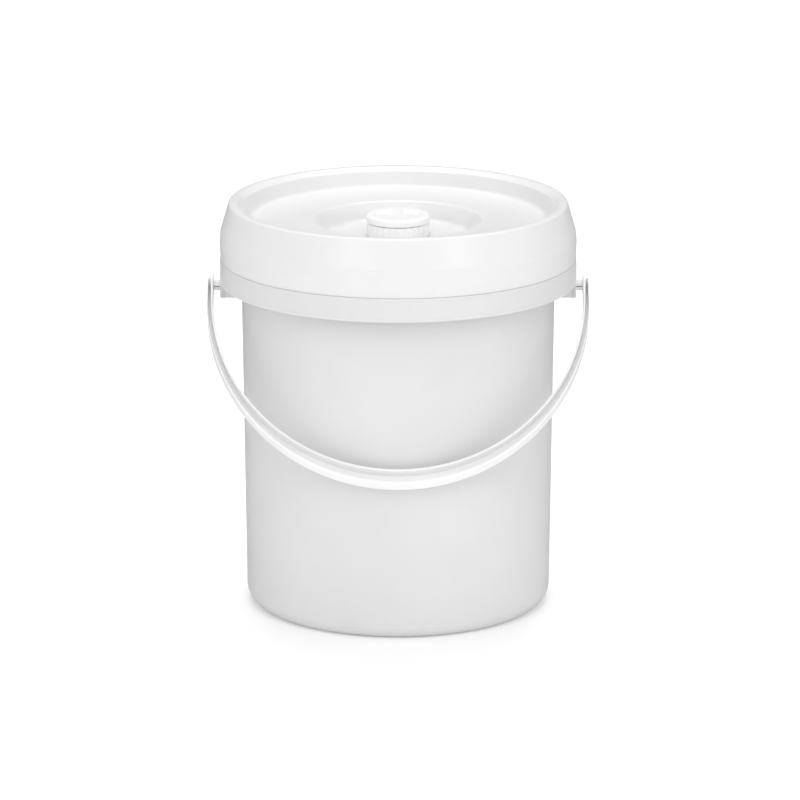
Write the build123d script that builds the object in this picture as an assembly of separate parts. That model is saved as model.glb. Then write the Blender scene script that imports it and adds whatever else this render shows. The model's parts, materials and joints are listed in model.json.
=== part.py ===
"""A five litre plastic fermenting bucket with a press-on lid, a bail handle and a vented centre cap.

Millimetres, +Z up. The origin is the centre of the base, on the surface that the bucket stands on.
Each moulding and each seal is one solid in its own file. The handle hangs forward, against the wall.
"""

import os
from math import cos, sin, radians, sqrt

from build123d import *

# Bucket moulding
WALL = 1.8
BASE_R = 91.05  # outside of the wall, carried down to the floor
DRAFT = 0.0115  # outward lean of the wall, mm per mm of height
BASE_CORNER_R = 10.0
FOOT_INNER_R = 72.0
FOOT_RECESS = 2.0
FLOOR_TOP_Z = 3.8
FLARE_Z = 207.0  # the inside opens out to the rim between these two heights
RIM_FOOT_Z = 217.5
RIM_INNER_R = 95.0
RIM_OUTER_R = 97.0
RIM_TOP_Z = 239.0
BEAD_R = 98.9
BEAD_DEPTH = 2.8

# Collar, which stiffens the rim and carries the handle
COLLAR_R = 105.9
COLLAR_TOP_Z = 211.0
COLLAR_BOTTOM_Z = 196.8
COLLAR_WALL = 2.0
COLLAR_LEAN = 0.2  # how far the collar's face draws in towards its top
COLLAR_BEAD = 0.3  # how far the small beads along the collar's two edges stand out
COLLAR_BEAD_HEIGHT = 1.3
GUSSET_COUNT = 12
GUSSET_THICK = 1.4

# Box lugs under the collar, one each side
LUG_FACE_X = 106.0
LUG_PLATE = 3.0
LUG_HALF_WIDTH = 9.0
LUG_SIDE_WALL = 2.0
LUG_BOTTOM_Z = 187.8
PIN_Z = 193.5

# Handle: a flat crescent between two ellipses, moulded as a channel that is open to the front
HANDLE_TILT = 47.0  # degrees forward of hanging straight down, where it rests on the wall
INNER_HALF_WIDTH = 110.0
INNER_DROP = 10.0  # straight part of the leg, from the pivot to the ellipse's centre
INNER_REACH = 130.5
OUTER_HALF_WIDTH = 113.7
OUTER_DROP = 13.0
OUTER_REACH = 140.5
BAIL_WIDTH = 8.0
FLANGE = 1.7
LEG_OUTER_FLANGE = 0.7  # the outer flange thins to this up the legs
CHANNEL_DEPTH = 5.5
EYE_R = 6.0

# Pivot pegs
PEG_R = 3.0
PEG_HOLE_R = 3.1
PEG_HEAD_R = 3.9
PEG_HEAD_LENGTH = 3.2
PEG_TIP_R = 2.6
PEG_SLOT = 0.7
PEG_SLOT_END_X = 109.5
PEG_SLOT_TURN = -38.0
GAP = 0.3  # free space between pieces that move past one another

# Lid
LID_WALL = 2.0
SKIRT_R = 106.2
SKIRT_WIDEST_Z = 221.0
SKIRT_BOTTOM_R = 105.4
SEAT_GAP = 0.12  # between the lid's skirt and the collar, whose faces there are flat
SKIRT_BOTTOM_Z = COLLAR_TOP_Z + SEAT_GAP
SHOULDER_R = 105.6
SHOULDER_Z = 227.5
CREST_R = 100.6
CREST_INNER_R = 96.2
CREST_Z = 245.0
PLUG_TOP_R = 92.0
PLUG_TOP_Z = 242.7
DECK_R = 88.6
DECK_Z = 234.0
DISH_LIP_R = 49.4
DISH_FLOOR_R = 43.0
DISH_FLOOR_Z = 224.0
CHANNEL_TOP_Z = 242.6
SNAP_R = BEAD_R + 0.35

# Rubber parts
GASKET_INNER_R = 95.3
GASKET_OUTER_R = 98.6
GROMMET_HOLE_R = 7.5
GROMMET_BORE_R = 4.8
GROMMET_FLANGE_R = 10.5
GROMMET_FLANGE = 2.4

# Vent in the middle of the lid
SPIGOT_BORE_R = 3.2
SPIGOT_BOTTOM_Z = 214.0
VENT_R = 18.2
VENT_RIB_R = 18.8
VENT_RIB_COUNT = 28
VENT_TOP_Z = 232.2
VENT_WALL = 1.8
UPSTAND_R = 12.0
UPSTAND_WALL = 1.5
UPSTAND_TOP_Z = 234.3
GAS_SLOT = 2.0
CAP_R = 19.0
CAP_BOTTOM_Z = 232.7
CAP_TOP_Z = 237.0
CAP_PLATE = 2.0
CAP_EDGE_R = 1.9
POCKET_R = 13.6
POCKET_DEPTH = 1.0
GRIP_BAR = 6.4


def turned(points, corner_radii):
    """One solid: the closed outline in (radius, height), corners rounded, turned about the Z axis."""
    outline = FilletPolyline(*points, radius=corner_radii, close=True)
    return revolve(Plane.XZ * make_face(outline), Axis.Z)


def ring(inner_r, outer_r, bottom_z, top_z):
    """A plain ring about the Z axis."""
    height = top_z - bottom_z
    tube = Cylinder(outer_r, height) - Cylinder(inner_r, height)
    return Pos(0, 0, (top_z + bottom_z) / 2) * tube


def block(low, high):
    """A box between two corners."""
    size = [b - a for a, b in zip(low, high)]
    centre = [(a + b) / 2 for a, b in zip(low, high)]
    return Pos(*centre) * Box(*size)


def rod_along_x(radius, start_x, end_x):
    """A round bar along X."""
    return Pos((start_x + end_x) / 2, 0, 0) * Rot(0, 90, 0) * Cylinder(radius, end_x - start_x)


def on_both_sides(shape):
    """A shape and its half-turn copy about the Z axis."""
    return shape + Rot(0, 0, 180) * shape


def wall_r(z):
    """Outside radius of the drafted bucket wall at a height."""
    return BASE_R + DRAFT * z


def bucket():
    """The bucket: wall and floor, flared rim with a bead, hanging collar, gussets and two lugs."""
    flange_z = COLLAR_TOP_Z - COLLAR_WALL
    skirt_inner_r = COLLAR_R - COLLAR_WALL
    collar_top_r = COLLAR_R - COLLAR_LEAN
    corners = [
        ((0, FOOT_RECESS), 0),
        ((FOOT_INNER_R, FOOT_RECESS), 1.5),
        ((FOOT_INNER_R + 1.5, 0), 0.8),
        ((BASE_R, 0), BASE_CORNER_R),
        ((wall_r(flange_z), flange_z), 1.0),
        ((skirt_inner_r - 0.2, flange_z), 1.0),
        ((skirt_inner_r, COLLAR_BOTTOM_Z), 0.4),
        ((COLLAR_R + COLLAR_BEAD, COLLAR_BOTTOM_Z), 0.5),
        ((COLLAR_R + COLLAR_BEAD, COLLAR_BOTTOM_Z + COLLAR_BEAD_HEIGHT), 0.5),
        ((COLLAR_R, COLLAR_BOTTOM_Z + 1.5 * COLLAR_BEAD_HEIGHT), 0.5),
        ((collar_top_r, COLLAR_TOP_Z - 1.5 * COLLAR_BEAD_HEIGHT), 0.5),
        ((collar_top_r + COLLAR_BEAD, COLLAR_TOP_Z - COLLAR_BEAD_HEIGHT), 0.5),
        ((collar_top_r + COLLAR_BEAD, COLLAR_TOP_Z), 0.9),
        ((RIM_OUTER_R, COLLAR_TOP_Z), 0.8),
        ((RIM_OUTER_R, RIM_TOP_Z - BEAD_DEPTH - 1), 0.8),
        ((BEAD_R, RIM_TOP_Z - BEAD_DEPTH), 0.6),
        ((BEAD_R, RIM_TOP_Z), 1.3),
        ((RIM_INNER_R, RIM_TOP_Z), 1.0),
        ((RIM_INNER_R, RIM_FOOT_Z), 6.0),
        ((wall_r(FLARE_Z) - WALL, FLARE_Z), 6.0),
        ((wall_r(FLOOR_TOP_Z) - WALL, FLOOR_TOP_Z), BASE_CORNER_R - WALL),
        ((0, FLOOR_TOP_Z), 0),
    ]
    shell = turned([point for point, _ in corners], [radius for _, radius in corners])

    gusset_low = (wall_r(flange_z) - 0.6, -GUSSET_THICK / 2, COLLAR_BOTTOM_Z + 1.5)
    gusset_high = (skirt_inner_r + 0.6, GUSSET_THICK / 2, flange_z + 0.5)
    gusset = block(gusset_low, gusset_high)
    step = 360 / GUSSET_COUNT
    for index in range(GUSSET_COUNT):
        shell += Rot(0, 0, (index + 0.5) * step) * gusset

    lug_top_z = flange_z + 0.5
    side_start_x = sqrt(wall_r(LUG_BOTTOM_Z) ** 2 - LUG_HALF_WIDTH**2) - 0.8
    plate = block(
        (LUG_FACE_X - LUG_PLATE, -LUG_HALF_WIDTH, LUG_BOTTOM_Z),
        (LUG_FACE_X, LUG_HALF_WIDTH, lug_top_z),
    )
    side = block(
        (side_start_x, LUG_HALF_WIDTH - LUG_SIDE_WALL, LUG_BOTTOM_Z),
        (LUG_FACE_X, LUG_HALF_WIDTH, lug_top_z),
    )
    lug = plate + side + mirror(side, Plane.XZ)
    shell += on_both_sides(lug)

    hole = Pos(0, 0, PIN_Z) * rod_along_x(PEG_HOLE_R, LUG_FACE_X - LUG_PLATE - 1, LUG_FACE_X + 2)
    return shell - on_both_sides(hole)


def half_ellipse_outline(half_width, drop, reach):
    """A face: straight legs from the pivot line down to the ellipse's centre, then half the ellipse."""
    ellipse = Pos(0, -drop) * Ellipse(half_width, reach - drop)
    below = Pos(0, -drop - reach) * Rectangle(4 * half_width, 2 * reach)
    legs = Pos(0, -drop / 2) * Rectangle(2 * half_width, drop)
    return (ellipse & below) + legs


def crescent(flange, leg_outer_flange):
    """The bail's face between its two outlines, less a flange along each edge."""
    outer = half_ellipse_outline(OUTER_HALF_WIDTH - leg_outer_flange, OUTER_DROP, OUTER_REACH - flange)
    inner = half_ellipse_outline(INNER_HALF_WIDTH + flange, INNER_DROP, INNER_REACH + flange)
    return outer - inner


def peg():
    """A split snap peg along X that points inward from the +X end of the handle."""
    head_outer_x = LUG_FACE_X - LUG_PLATE - GAP
    head_inner_x = head_outer_x - PEG_HEAD_LENGTH
    stem = rod_along_x(PEG_R, head_inner_x, INNER_HALF_WIDTH + 1)
    head = Cone(PEG_TIP_R, PEG_HEAD_R, PEG_HEAD_LENGTH)
    head = Pos((head_inner_x + head_outer_x) / 2, 0, 0) * Rot(0, 90, 0) * head
    slot = block(
        (head_inner_x - 1, -2 * PEG_HEAD_R, -PEG_SLOT / 2),
        (PEG_SLOT_END_X, 2 * PEG_HEAD_R, PEG_SLOT / 2),
    )
    return stem + head - Rot(PEG_SLOT_TURN, 0, 0) * slot


def handle():
    """The bail, drawn flat with its legs up and its pivots on the X axis, then hung at its tilt."""
    bail = extrude(crescent(0, 0), BAIL_WIDTH / 2, both=True)
    eye = rod_along_x(EYE_R, INNER_HALF_WIDTH, OUTER_HALF_WIDTH)
    bail += on_both_sides(eye + peg())
    channel = extrude(crescent(FLANGE, LEG_OUTER_FLANGE), 2 * BAIL_WIDTH)
    bail -= Pos(0, 0, BAIL_WIDTH / 2 - CHANNEL_DEPTH) * channel
    return Pos(0, 0, PIN_Z) * Rot(90 - HANDLE_TILT, 0, 0) * bail


def offset_along(start, end, distance):
    """The two points moved sideways, to the right of the direction from start to end."""
    run_r, run_z = end[0] - start[0], end[1] - start[1]
    length = sqrt(run_r**2 + run_z**2)
    shift = (run_z / length * distance, -run_r / length * distance)
    return [(point[0] + shift[0], point[1] + shift[1]) for point in (start, end)]


def at_height(line, z):
    """The point at a height on the straight line through two points."""
    (r0, z0), (r1, z1) = line
    return (r0 + (r1 - r0) * (z - z0) / (z1 - z0), z)


def lid():
    """The lid: skirt, sloping shoulder, crest, plug wall, deck and a dish with a hole in its middle."""
    dish_under = offset_along((DISH_FLOOR_R, DISH_FLOOR_Z), (DISH_LIP_R, DECK_Z), LID_WALL)
    plug_under = offset_along((DECK_R, DECK_Z), (PLUG_TOP_R, PLUG_TOP_Z), LID_WALL)
    shoulder_under = offset_along((CREST_R, CREST_Z), (SHOULDER_R, SHOULDER_Z), LID_WALL)
    snap_z = RIM_TOP_Z - BEAD_DEPTH - 2
    floor_under_z = DISH_FLOOR_Z - LID_WALL
    deck_under_z = DECK_Z - LID_WALL
    corners = [
        ((SKIRT_BOTTOM_R, SKIRT_BOTTOM_Z), 0.3),
        ((SKIRT_R, SKIRT_WIDEST_Z), 20.0),
        ((SHOULDER_R, SHOULDER_Z), 4.0),
        ((CREST_R, CREST_Z), 1.8),
        ((CREST_INNER_R, CREST_Z), 2.5),
        ((PLUG_TOP_R, PLUG_TOP_Z), 1.5),
        ((DECK_R, DECK_Z), 3.0),
        ((DISH_LIP_R, DECK_Z), 2.0),
        ((DISH_FLOOR_R, DISH_FLOOR_Z), 4.0),
        ((GROMMET_HOLE_R, DISH_FLOOR_Z), 0),
        ((GROMMET_HOLE_R, floor_under_z), 0),
        (at_height(dish_under, floor_under_z), 5.0),
        (at_height(dish_under, deck_under_z), 1.0),
        (at_height(plug_under, deck_under_z), 4.0),
        (at_height(plug_under, CHANNEL_TOP_Z - 0.8), 0.5),
        ((GASKET_INNER_R - 0.1, CHANNEL_TOP_Z), 0.2),
        (at_height(shoulder_under, CHANNEL_TOP_Z), 0.3),
        (at_height(shoulder_under, snap_z + 1.4), 0.3),
        ((SNAP_R, snap_z + 0.3), 0.2),
        ((SNAP_R, snap_z - 0.3), 0.2),
        (at_height(shoulder_under, snap_z - 1.8), 0.3),
        ((SHOULDER_R - LID_WALL, SHOULDER_Z - 0.4), 3.0),
        ((SKIRT_R - LID_WALL, SKIRT_WIDEST_Z), 20.0),
        ((SKIRT_BOTTOM_R - LID_WALL, SKIRT_BOTTOM_Z), 0.3),
    ]
    return turned([point for point, _ in corners], [radius for _, radius in corners])


def lid_gasket():
    """A soft ring in the top of the lid's channel, which the bucket's rim presses into."""
    return ring(GASKET_INNER_R, GASKET_OUTER_R, RIM_TOP_Z + GAP, CHANNEL_TOP_Z)


def airlock_grommet():
    """A rubber grommet gripping the edge of the lid's centre hole."""
    under_z = DISH_FLOOR_Z - LID_WALL
    upper = ring(GROMMET_BORE_R, GROMMET_FLANGE_R, DISH_FLOOR_Z, DISH_FLOOR_Z + GROMMET_FLANGE)
    lower = ring(GROMMET_BORE_R, GROMMET_FLANGE_R, under_z - GROMMET_FLANGE, under_z)
    waist = ring(GROMMET_BORE_R, GROMMET_HOLE_R, under_z, DISH_FLOOR_Z)
    return upper + waist + lower


def vent_body():
    """The lower half of the vent: a spigot in the grommet, a ribbed skirt and a slotted upstand."""
    plate_z = VENT_TOP_Z - VENT_WALL
    body = ring(SPIGOT_BORE_R, GROMMET_BORE_R, SPIGOT_BOTTOM_Z, plate_z)
    body += ring(SPIGOT_BORE_R, VENT_R, plate_z, VENT_TOP_Z)
    body += ring(VENT_R - VENT_WALL, VENT_R, DISH_FLOOR_Z, plate_z)
    body += ring(UPSTAND_R - UPSTAND_WALL, UPSTAND_R, VENT_TOP_Z, UPSTAND_TOP_Z)
    rib = Pos(VENT_R, 0, (DISH_FLOOR_Z + VENT_TOP_Z) / 2 - 0.4)
    rib *= Cylinder(VENT_RIB_R - VENT_R, VENT_TOP_Z - DISH_FLOOR_Z - 0.8)
    for index in range(VENT_RIB_COUNT):
        body += Rot(0, 0, index * 360 / VENT_RIB_COUNT) * rib
    gas_slot = block(
        (-UPSTAND_R - 1, -GAS_SLOT / 2, VENT_TOP_Z),
        (UPSTAND_R + 1, GAS_SLOT / 2, UPSTAND_TOP_Z + 1),
    )
    return body - gas_slot - Rot(0, 0, 90) * gas_slot


def vent_cap():
    """The loose cap over the vent: rounded edge, two finger pockets and a grip bar between them."""
    under_z = CAP_TOP_Z - CAP_PLATE
    inner_ring_r = UPSTAND_R + GAP
    corners = [
        ((0, CAP_TOP_Z), 0),
        ((CAP_R, CAP_TOP_Z), CAP_EDGE_R),
        ((CAP_R, CAP_BOTTOM_Z), 0.3),
        ((CAP_R - VENT_WALL, CAP_BOTTOM_Z), 0.2),
        ((CAP_R - VENT_WALL, under_z), 0),
        ((inner_ring_r + 1.2, under_z), 0),
        ((inner_ring_r + 1.2, CAP_BOTTOM_Z), 0),
        ((inner_ring_r, CAP_BOTTOM_Z), 0),
        ((inner_ring_r, under_z), 0),
        ((0, under_z), 0),
    ]
    cap = turned([point for point, _ in corners], [radius for _, radius in corners])
    pockets = Cylinder(POCKET_R, 2 * POCKET_DEPTH) - Box(GRIP_BAR, 3 * POCKET_R, 3 * POCKET_DEPTH)
    return cap - Pos(0, 0, CAP_TOP_Z) * pockets


def main():
    """Write one STEP file for each piece."""
    os.makedirs("parts", exist_ok=True)
    pieces = {
        "bucket": bucket(),
        "carry_handle": handle(),
        "lid": lid(),
        "lid_gasket": lid_gasket(),
        "airlock_grommet": airlock_grommet(),
        "vent_body": vent_body(),
        "vent_cap": vent_cap(),
    }
    for name, shape in pieces.items():
        export_step(shape, f"parts/{name}.step")


main()
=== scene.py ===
"""The looks of a five litre white plastic fermenting bucket with a press-on lid, a bail and a vented cap.

Sizes are in millimetres until a mesh is written, which is in metres. The height of the handle's pivots
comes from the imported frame; the fields of each class are the sizes of that sub-assembly's own shapes.
"""

from __future__ import annotations

import json
import logging
import math
from dataclasses import dataclass
from enum import Enum

import bmesh
import bpy
import numpy as np
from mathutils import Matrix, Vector

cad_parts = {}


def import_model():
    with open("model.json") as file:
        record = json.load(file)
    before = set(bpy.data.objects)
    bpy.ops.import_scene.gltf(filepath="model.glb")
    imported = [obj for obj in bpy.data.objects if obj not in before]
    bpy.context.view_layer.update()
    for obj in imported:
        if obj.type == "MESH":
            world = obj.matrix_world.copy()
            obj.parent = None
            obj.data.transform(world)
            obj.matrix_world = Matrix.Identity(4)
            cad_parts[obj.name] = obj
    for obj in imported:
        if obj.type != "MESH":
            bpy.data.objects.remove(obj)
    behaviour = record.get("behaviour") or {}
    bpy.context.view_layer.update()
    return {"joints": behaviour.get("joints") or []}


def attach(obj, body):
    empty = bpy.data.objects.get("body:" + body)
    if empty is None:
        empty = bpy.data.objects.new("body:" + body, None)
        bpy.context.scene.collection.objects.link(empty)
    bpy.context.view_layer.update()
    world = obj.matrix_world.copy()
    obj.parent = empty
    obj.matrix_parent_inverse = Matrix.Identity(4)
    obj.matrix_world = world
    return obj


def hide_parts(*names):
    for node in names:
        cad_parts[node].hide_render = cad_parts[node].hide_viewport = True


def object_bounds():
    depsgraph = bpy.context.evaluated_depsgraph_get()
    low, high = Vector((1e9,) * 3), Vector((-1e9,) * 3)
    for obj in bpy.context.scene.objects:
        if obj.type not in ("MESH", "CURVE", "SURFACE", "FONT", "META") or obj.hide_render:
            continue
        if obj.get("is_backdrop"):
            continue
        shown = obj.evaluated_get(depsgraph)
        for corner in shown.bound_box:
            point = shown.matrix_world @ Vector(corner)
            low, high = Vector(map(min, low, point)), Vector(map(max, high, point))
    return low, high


MM = 0.001
WELD = 1e-6  # metres; points closer than this are one point
ARC_STEPS = 7  # points along a rounded corner
HOLD = 0.35  # mm from a corner to the row of faces that keeps a flat side flat
SHARP_ANGLE = math.radians(50)  # faces that meet at more than this are shaded with an edge
OVERLAP = 0.4  # mm that a rib or a plate reaches into the moulding that it grows from
LOG = logging.getLogger("fermenting_bucket")

# Each noise is its features per metre and its detail.
PALE_PATCHES = (14.0, 3.0)
DULL_PATCHES = (55.0, 5.0)
FLOW_MARKS = (160.0, 2.0)
FLOW_STRETCH = (1.0, 1.0, 0.06)  # scale of places in the flow marks, which makes them run up the wall
MOULD_GRAIN = (2600.0, 2.0)
RUBBER_DUST = (240.0, 6.0)
RUBBER_GRAIN = (3800.0, 3.0)

Corners = list[tuple[float, float, float]]  # (radius or x, height or y, fillet), in mm
Tint = tuple[float, float, float]  # red, green and blue, each from 0 to 1


# ---- Surfaces ----


@dataclass
class Surface:
    """A surface of four-sided faces.

    Attributes:
        points: (n, 3) places in millimetres.
        faces: (m, 4) indices into points.
    """

    points: np.ndarray
    faces: np.ndarray

    @classmethod
    def from_grid(cls, grid: np.ndarray, close_rows: bool, close_columns: bool) -> Surface:
        """Joins each point of a grid to its neighbours: face (i, j) holds points (i, j) to (i+1, j+1).

        Args:
            grid: (rows, columns, 3) points.
            close_rows: whether the last row joins the first.
            close_columns: whether the last column joins the first.

        Returns:
            The surface through the grid.
        """
        rows, columns = grid.shape[:2]
        i = np.arange(rows if close_rows else rows - 1)[:, None]
        j = np.arange(columns if close_columns else columns - 1)[None, :]
        below, beside = (i + 1) % rows, (j + 1) % columns
        ring = [i * columns + j, i * columns + beside, below * columns + beside, below * columns + j]
        return cls(grid.reshape(-1, 3), np.stack(ring, axis=-1).reshape(-1, 4))

    def placed(self, turn: np.ndarray, shift: tuple[float, float, float]) -> Surface:
        """The same surface turned by a 3x3 matrix and then shifted."""
        return Surface(self.points @ turn.T + np.array(shift), self.faces)


def unit(vectors: np.ndarray) -> np.ndarray:
    """Vectors of length one along the last axis; a zero vector stays zero."""
    return vectors / np.maximum(np.linalg.norm(vectors, axis=-1, keepdims=True), 1e-12)


def turn_about(axis: int, degrees: float) -> np.ndarray:
    """The 3x3 matrix of a right-handed turn about X (0), Y (1) or Z (2)."""
    c, s = math.cos(math.radians(degrees)), math.sin(math.radians(degrees))
    a, b = (axis + 1) % 3, (axis + 2) % 3
    matrix = np.eye(3)
    matrix[a, a], matrix[b, b], matrix[a, b], matrix[b, a] = c, c, -s, s
    return matrix


def rounded(points: np.ndarray, fillets: np.ndarray, steps: int = ARC_STEPS) -> np.ndarray:
    """Rounds the corners of a closed outline, or of a whole stack of outlines at once.

    Each side is cut back from its corner by fillet / tan(half the angle between the sides). A point of the
    arc is the centre plus its two end radii weighted by sin((1 - t) a) / sin(a) and sin(t a) / sin(a),
    where a is the arc's angle and t runs from 0 to 1.

    Args:
        points: (..., n, 2) corners.
        fillets: (..., n) radii.
        steps: points on each arc.

    Returns:
        (..., n * steps, 2) points; a corner with no fillet is repeated.
    """
    last = unit(np.roll(points, 1, axis=-2) - points)
    following = unit(np.roll(points, -1, axis=-2) - points)
    half = np.arccos(np.clip(np.sum(last * following, axis=-1), -1.0, 1.0)) / 2
    arc = np.clip(np.pi - 2 * half, 1e-4, np.pi - 1e-4)[..., None]
    cut = (fillets / np.tan(half))[..., None]
    centre = points + unit(last + following) * (fillets / np.sin(half))[..., None]
    start, end = points + last * cut - centre, points + following * cut - centre
    t = np.linspace(0.0, 1.0, steps)
    from_start = (np.sin((1 - t) * arc) / np.sin(arc))[..., None]
    from_end = (np.sin(t * arc) / np.sin(arc))[..., None]
    arcs = centre[..., None, :] + from_start * start[..., None, :] + from_end * end[..., None, :]
    return arcs.reshape(*points.shape[:-2], -1, 2)


def outline(corners: Corners, closed: bool, run: float = 6.0) -> np.ndarray:
    """A rounded outline with extra points on its straight sides.

    The outline is measured along its own length. Every side longer than four holds gets a point one hold
    in from each end, and points one run apart fill what is left.

    Args:
        corners: the outline's corners with their fillets.
        closed: whether the last corner joins the first.
        run: the widest spacing along a side, in mm.

    Returns:
        (n, 2) points.
    """
    table = np.array(corners)
    path = rounded(table[:, :2], table[:, 2])
    path = np.vstack([path, path[:1]]) if closed else path
    steps = np.linalg.norm(np.diff(path, axis=0), axis=1)
    path = path[np.concatenate([[True], steps > 1e-5])]
    lengths = np.linalg.norm(np.diff(path, axis=0), axis=1)
    at = np.concatenate([[0.0], np.cumsum(lengths)])
    long = lengths > 4 * HOLD
    fixed = np.concatenate([at, at[:-1][long] + HOLD, at[1:][long] - HOLD])
    even = np.arange(run, at[-1], run)
    clear = np.abs(even[:, None] - fixed[None, :]).min(axis=1) > run / 2
    stations = np.sort(np.concatenate([fixed, even[clear]]))
    result = np.stack([np.interp(stations, at, path[:, k]) for k in (0, 1)], axis=1)
    return result[:-1] if closed else result


def turned(path: np.ndarray, segments: int, closed: bool) -> Surface:
    """Carries an outline (r, z) round the Z axis: the point at angle a is (r cos a, r sin a, z)."""
    angle = np.linspace(0.0, 2 * np.pi, segments, endpoint=False)
    r, z = path[:, :1], path[:, 1:]
    grid = np.stack([r * np.cos(angle), r * np.sin(angle), np.broadcast_to(z, (len(z), segments))], -1)
    return Surface.from_grid(grid, close_rows=closed, close_columns=True)


def block(low: tuple[float, ...], high: tuple[float, ...], fillet: float) -> Surface:
    """A box with rounded edges.

    A rounded rectangle in X and Y is carried up Z. Near each end it is drawn in by
    fillet * (1 - sin t) while its height changes by fillet * (1 - cos t), and the ends close on a line.

    Args:
        low: lowest corner, in mm.
        high: highest corner, in mm.
        fillet: radius of every edge, in mm.

    Returns:
        The closed surface.
    """
    (x0, y0, z0), (x1, y1, z1) = low, high
    middle = np.array([(x0 + x1) / 2, (y0 + y1) / 2])
    half = np.array([(x1 - x0) / 2, (y1 - y0) / 2])
    signs = np.array([[1, 1], [-1, 1], [-1, -1], [1, -1]])
    t = np.linspace(0.0, np.pi / 2, ARC_STEPS)
    drawn_in = np.concatenate([[half.min()], fillet * (1 - np.sin(t))])
    height = np.concatenate([[0.0], fillet * (1 - np.cos(t))])
    inset = np.concatenate([drawn_in, drawn_in[::-1]])
    z = np.concatenate([z0 + height, (z1 - height)[::-1]])
    corners = signs * (half - inset[:, None])[:, None, :]
    corners = np.where(np.abs(corners) < 1e-3, signs * 1e-3, corners)
    radius = np.clip(fillet - inset, 1e-4, fillet)[:, None] * np.ones(4)
    loops = rounded(corners, radius, steps=4) + middle
    heights = np.broadcast_to(z[:, None, None], (*loops.shape[:2], 1))
    return Surface.from_grid(np.concatenate([loops, heights], axis=-1), False, True)


def smooth_step(x: np.ndarray) -> np.ndarray:
    """0 below 0, 1 above 1, and x squared times (3 - 2x) between."""
    t = np.clip(x, 0.0, 1.0)
    return t * t * (3 - 2 * t)


def offset_line(start: tuple[float, float], end: tuple[float, float], distance: float) -> np.ndarray:
    """Two points moved to the right of the way from start to end, as a (2, 2) array."""
    line = np.array([start, end], dtype=float)
    along = unit(line[1] - line[0])
    return line + distance * np.array([along[1], -along[0]])


def at_height(line: np.ndarray, z: float) -> tuple[float, float]:
    """The point at a height on the line through two points."""
    share = (z - line[0, 1]) / (line[1, 1] - line[0, 1])
    return float(line[0, 0] + share * (line[1, 0] - line[0, 0])), z


# ---- Finishes ----


class NodeSheet:
    """A material's node tree, with short calls to add and join its nodes."""

    def __init__(self, name: str) -> None:
        """Starts a material with a Principled shader joined to its output.

        Args:
            name: the material's name.
        """
        self.material = bpy.data.materials.new(name)
        self.material.use_nodes = True
        self.tree = self.material.node_tree
        self.shader = self.tree.nodes["Principled BSDF"]

    def add(self, kind: str, **values: object) -> bpy.types.Node:
        """Adds a node; a value is set on its input socket of that name, with _ for a space.

        Args:
            kind: the node's type, without the ShaderNode at its front.
            **values: numbers or vectors for the node's sockets.

        Returns:
            The new node.
        """
        node = self.tree.nodes.new("ShaderNode" + kind)
        for socket, value in values.items():
            node.inputs[socket.replace("_", " ")].default_value = value
        return node

    def join(self, source: bpy.types.NodeSocket, target: bpy.types.NodeSocket) -> None:
        """Joins an output socket to an input socket."""
        self.tree.links.new(source, target)

    def noise(self, place: bpy.types.NodeSocket, scale: float, detail: float) -> bpy.types.NodeSocket:
        """A noise from 0 to 1 over a place vector, with its scale in features per metre."""
        node = self.add("TexNoise", Scale=scale, Detail=detail, Roughness=0.55)
        self.join(place, node.inputs["Vector"])
        return node.outputs["Fac"]

    def spread(self, value: bpy.types.NodeSocket, low: float, high: float) -> bpy.types.NodeSocket:
        """The middle of a noise, 0.3 to 0.7, spread out from low to high."""
        node = self.add("MapRange", From_Min=0.3, From_Max=0.7, To_Min=low, To_Max=high)
        self.join(value, node.inputs["Value"])
        return node.outputs["Result"]

    def mix_tints(self, first: Tint, second: Tint, share: bpy.types.NodeSocket) -> None:
        """Sets the base colour to a mix of two tints, by a share from 0 to 1."""
        mix = self.add("Mix")
        mix.data_type = "RGBA"
        mix.inputs["A"].default_value = (*first, 1.0)
        mix.inputs["B"].default_value = (*second, 1.0)
        self.join(share, mix.inputs["Factor"])
        self.join(mix.outputs["Result"], self.shader.inputs["Base Color"])

    def bump(self, height: bpy.types.NodeSocket, depth: float) -> bpy.types.Node:
        """A bump that is as deep, in mm, as the height's range from 0 to 1."""
        node = self.add("Bump", Strength=1.0, Distance=depth * MM)
        self.join(height, node.inputs["Height"])
        return node


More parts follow.
